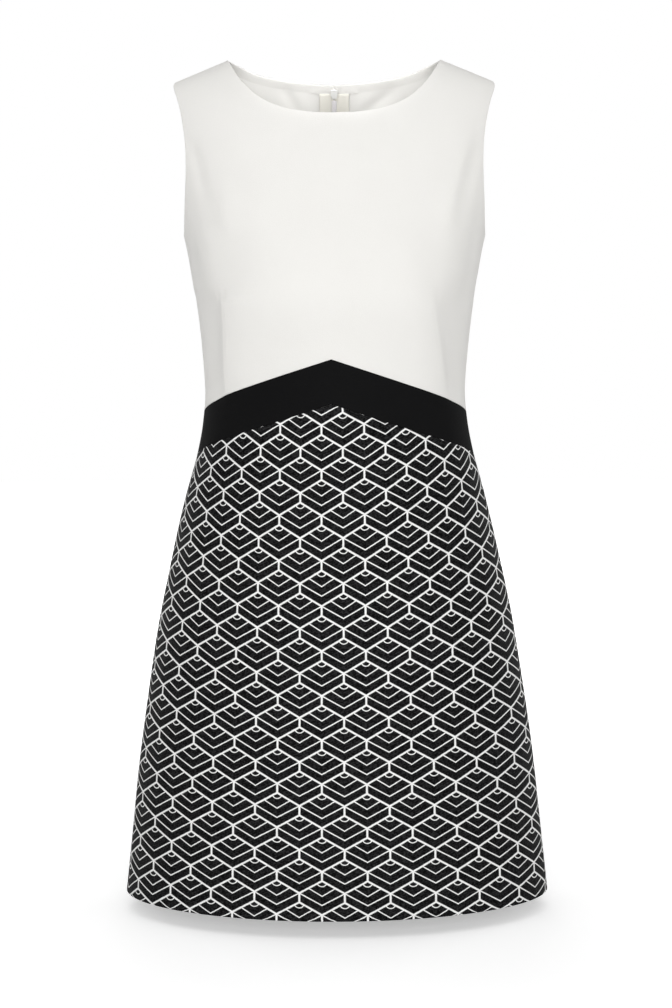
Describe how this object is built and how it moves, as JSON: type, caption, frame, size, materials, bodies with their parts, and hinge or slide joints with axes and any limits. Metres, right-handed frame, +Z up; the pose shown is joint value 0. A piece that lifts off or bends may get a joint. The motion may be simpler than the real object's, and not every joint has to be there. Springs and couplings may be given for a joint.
{
  "type": "shift dress",
  "caption": "Sleeveless A-line shift dress with a scooped neck, plain bodice, chevron waistband, patterned skirt and centre-back zip, in its worn form.",
  "frame": {"origin": "midway between the two points where the shoulder seams meet the neckline, at the height of those points, where the wearer's shoulders hold the dress", "axes": "+Z up along the wearer, -Y out of the front of the dress, +X towards the wearer's left"},
  "size_m": [0.4264, 0.2763, 0.8311],
  "materials": {
    "bodice_crepe": "matt off-white crepe",
    "waistband_crepe": "matt black crepe",
    "printed_twill": "black twill with a white line print of nested diamonds",
    "zip_tape": "woven cream tape",
    "zip_enamel": "white enamel"
  },
  "bodies": {
    "garment": {"bodice_front": "bodice_crepe", "bodice_back_left": "bodice_crepe", "bodice_back_right": "bodice_crepe", "waistband_front": "waistband_crepe", "waistband_back_left": "waistband_crepe", "waistband_back_right": "waistband_crepe", "skirt_front": "printed_twill", "skirt_back_left": "printed_twill", "skirt_back_right": "printed_twill", "zip_tape_left": "zip_tape", "zip_tape_right": "zip_tape", "zip_slider": "zip_enamel"},
    "pull_tab": {"zip_pull_tab": "zip_enamel"}
  },
  "joints": [
    {"name": "pull_tab_swing", "type": "hinge", "parent": "garment", "child": "pull_tab", "pos_m": [0, 0.05267, -0.02589], "axis": [1, 0, 0], "range_deg": [0, 150]}
  ]
}
